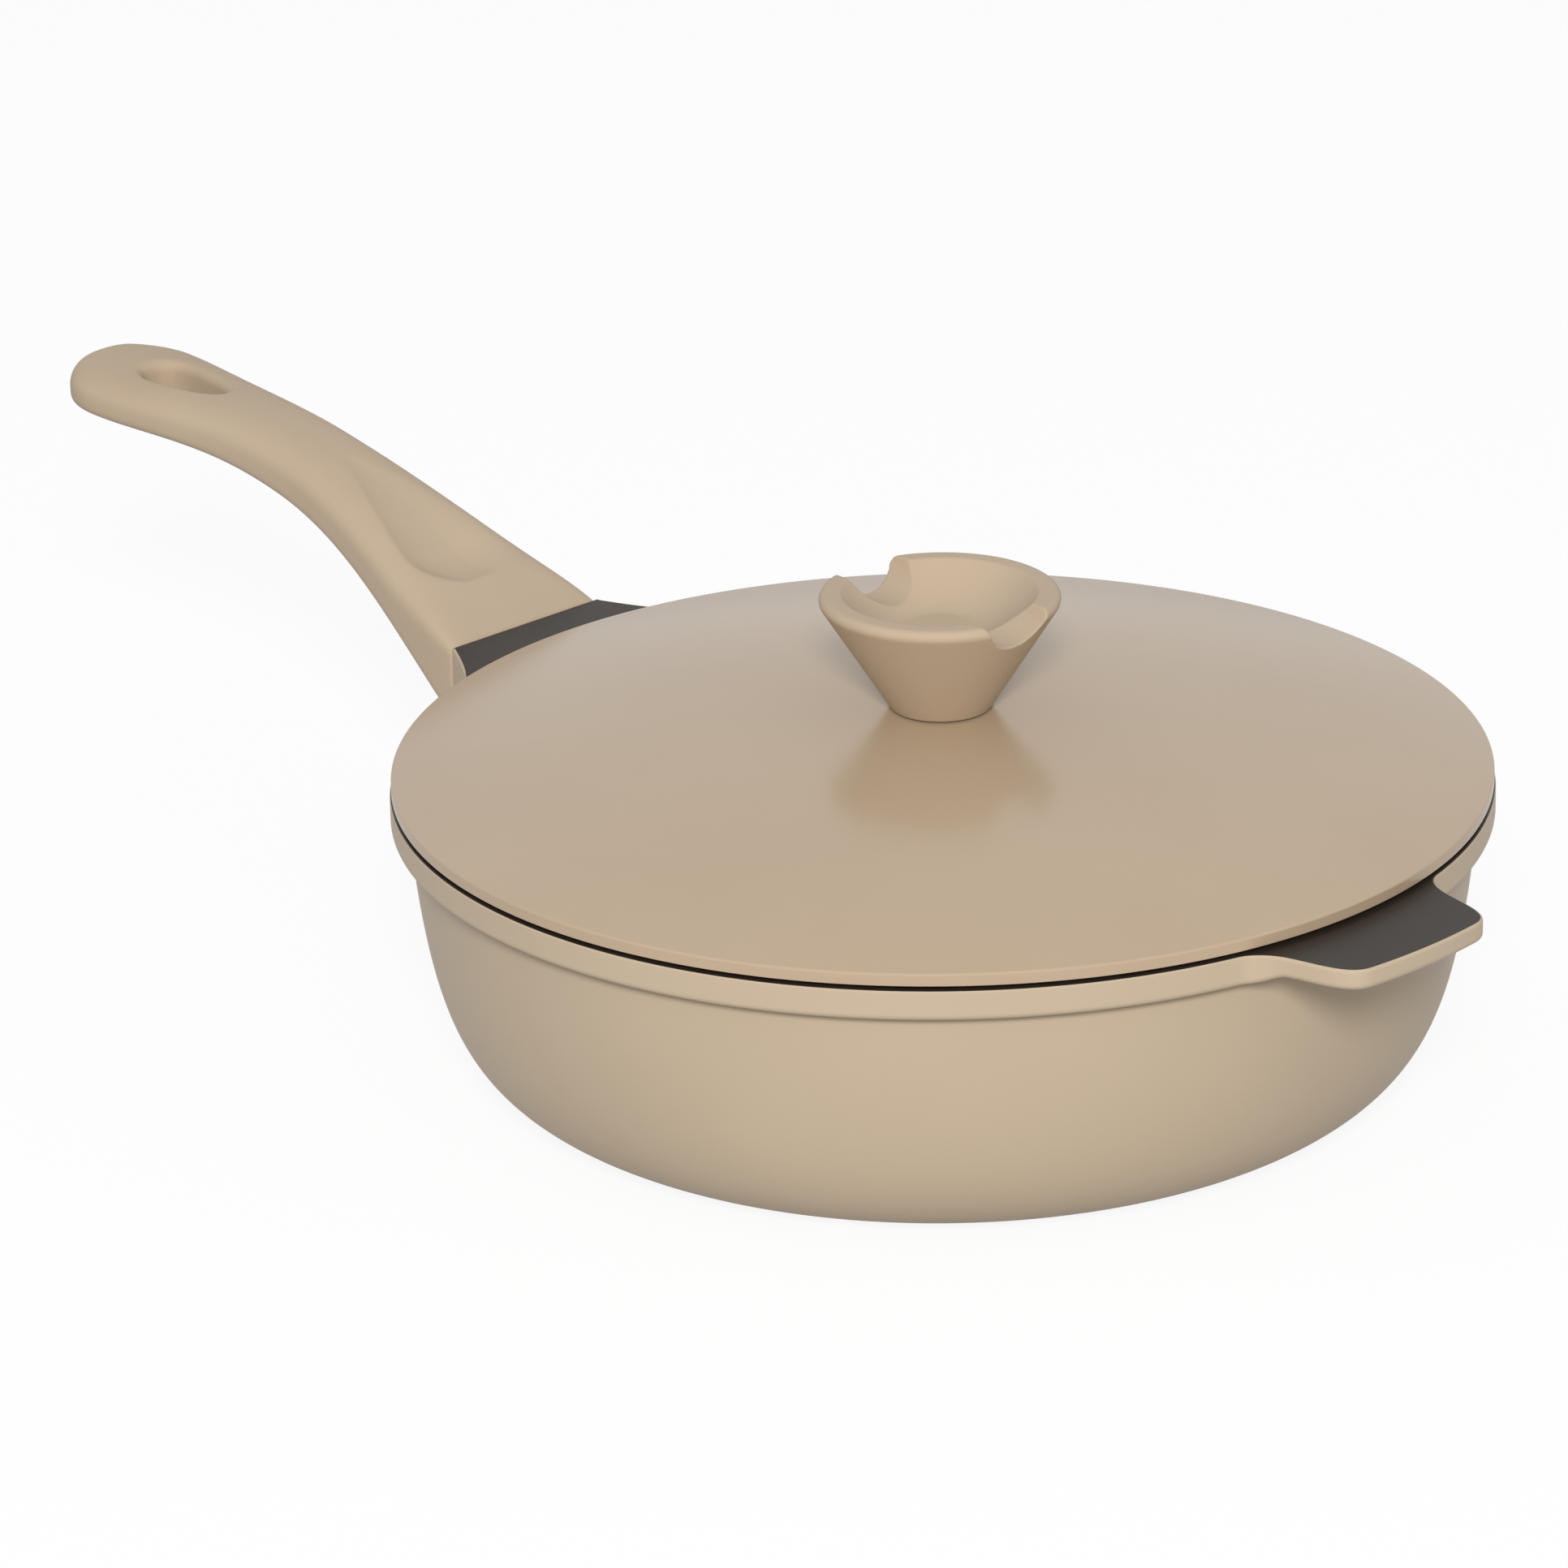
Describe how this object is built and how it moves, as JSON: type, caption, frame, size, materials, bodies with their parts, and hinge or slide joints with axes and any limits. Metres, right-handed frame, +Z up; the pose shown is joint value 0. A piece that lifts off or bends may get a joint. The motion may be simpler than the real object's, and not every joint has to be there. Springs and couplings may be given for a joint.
{
  "type": "saute pan with lid",
  "caption": "Deep round cast pan with a moulded long handle, a short helper tab on the rim and a domed lift-off lid with a flared spoon-rest knob.",
  "frame": {"origin": "Centre of the base, on the table.", "axes": "+Z up. +X towards the helper tab, -X along the long handle. The pan is symmetric about the XZ plane."},
  "size_m": [0.4997, 0.28, 0.1261],
  "materials": {
    "pan_coat": "cast aluminium, satin beige coat outside, dark warm grey non-stick coat inside and on the rim's top",
    "lid_coat": "satin beige coat",
    "base_steel": "turned",
    "soft_touch": "matte beige, soft-touch",
    "fastener_steel": "plain",
    "insert_brass": "plain",
    "gasket_rubber": "matte silicone"
  },
  "bodies": {
    "pan": {"pan_body": "pan_coat", "base_plate": "base_steel", "handle_grip": "soft_touch", "handle_screw": "fastener_steel", "handle_washer": "fastener_steel"},
    "lid": {"lid_plate": "lid_coat", "lid_knob": "soft_touch", "knob_gasket": "gasket_rubber", "knob_insert": "insert_brass", "knob_screw": "fastener_steel", "knob_washer": "fastener_steel"}
  },
  "joints": [
    {"name": "lid_lift", "type": "slide", "parent": "pan", "child": "lid", "axis": [0, 0, 1], "range_m": [0, 0.12]}
  ]
}
